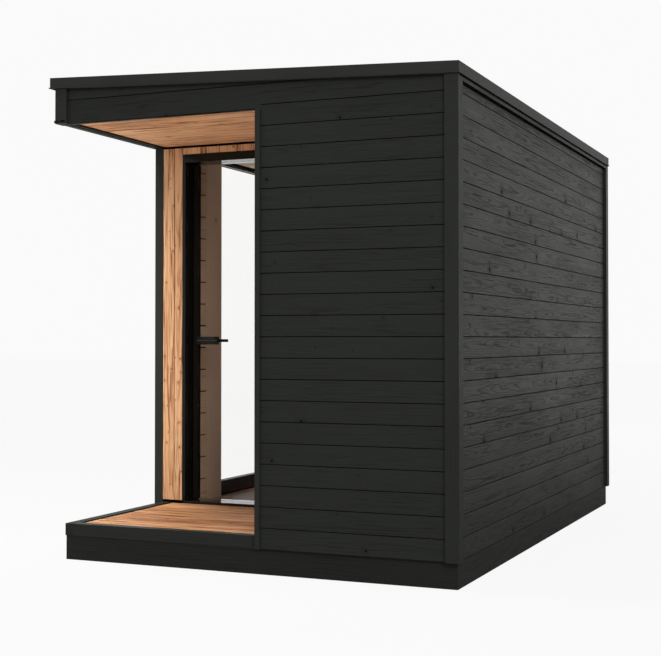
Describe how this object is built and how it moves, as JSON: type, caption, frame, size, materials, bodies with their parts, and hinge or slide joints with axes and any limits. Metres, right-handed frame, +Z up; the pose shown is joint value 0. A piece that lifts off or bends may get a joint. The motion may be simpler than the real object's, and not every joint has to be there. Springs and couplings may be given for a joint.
{
  "type": "sauna cabin",
  "caption": "Black timber-clad sauna cabin with a corner porch, glazed outward-opening door, tall side window and mono-pitch roof.",
  "frame": {"origin": "bottom centre of the cabin's overall box, on the ground", "axes": "+Z up, +Y towards the back, +X to the right as seen from the front"},
  "size_m": [2.312, 3.574, 2.5848],
  "materials": {
    "black_cladding": "black-stained spruce boards, satin",
    "black_trim": "black-painted trim boards, satin",
    "natural_wood": "oiled natural softwood",
    "floor_wood": "dark stained boards",
    "structure_wood": "plain timber",
    "roof_metal": "black coated sheet metal",
    "frame_paint": "black powder coat",
    "sill_metal": "dark anodised",
    "handle_steel": "brushed",
    "hinge_steel": "black",
    "glass": "clear"
  },
  "bodies": {
    "cabin": {"plinth_front": "black_trim", "plinth_back": "black_trim", "plinth_left": "black_trim", "plinth_right": "black_trim", "floor_bearers": "structure_wood", "floor_panel": "floor_wood", "deck_joists": "structure_wood", "deck_boards": "natural_wood", "deck_trim_front": "black_trim", "deck_trim_left": "black_trim", "front_wall": "black_cladding", "right_wall": "black_cladding", "back_wall": "black_cladding", "porch_side_wall": "black_cladding", "left_wall_front": "black_cladding", "left_wall_back": "black_cladding", "left_wall_head": "black_cladding", "left_wall_sill": "black_cladding", "door_wall_left": "black_cladding", "door_wall_right": "black_cladding", "door_wall_head": "black_cladding", "porch_fascia_front": "black_cladding", "porch_fascia_left": "black_cladding", "porch_soffit": "natural_wood", "ceiling_panel": "natural_wood", "roof_panel": "structure_wood", "roof_flashing_front": "roof_metal", "roof_flashing_back": "roof_metal", "roof_flashing_left": "roof_metal", "roof_flashing_right": "roof_metal", "corner_trims": "black_trim", "frieze_trims": "black_trim", "entry_boards": "natural_wood", "entry_header": "natural_wood", "door_jambs": "frame_paint", "door_frame_head": "frame_paint", "door_sill": "sill_metal", "hinge_frame_leaves": "hinge_steel", "window_frame": "frame_paint", "window_glass": "glass"},
    "door": {"door_leaf": "frame_paint", "door_glass": "glass", "lock_case": "handle_steel", "hinge_door_leaves": "hinge_steel"},
    "lever": {"lever_handle": "handle_steel"}
  },
  "joints": [
    {"name": "door_hinge", "type": "hinge", "parent": "cabin", "child": "door", "pos_m": [-0.0845, -0.6525, 0.204], "axis": [0, 0, 1], "range_deg": [0, 90]},
    {"name": "lever_turn", "type": "hinge", "parent": "door", "child": "lever", "pos_m": [-0.847, -0.643, 1.169], "axis": [0, 1, 0], "range_deg": [0, 40], "stiffness_Nm_per_rad": 1.5, "springref_deg": -28.65}
  ]
}
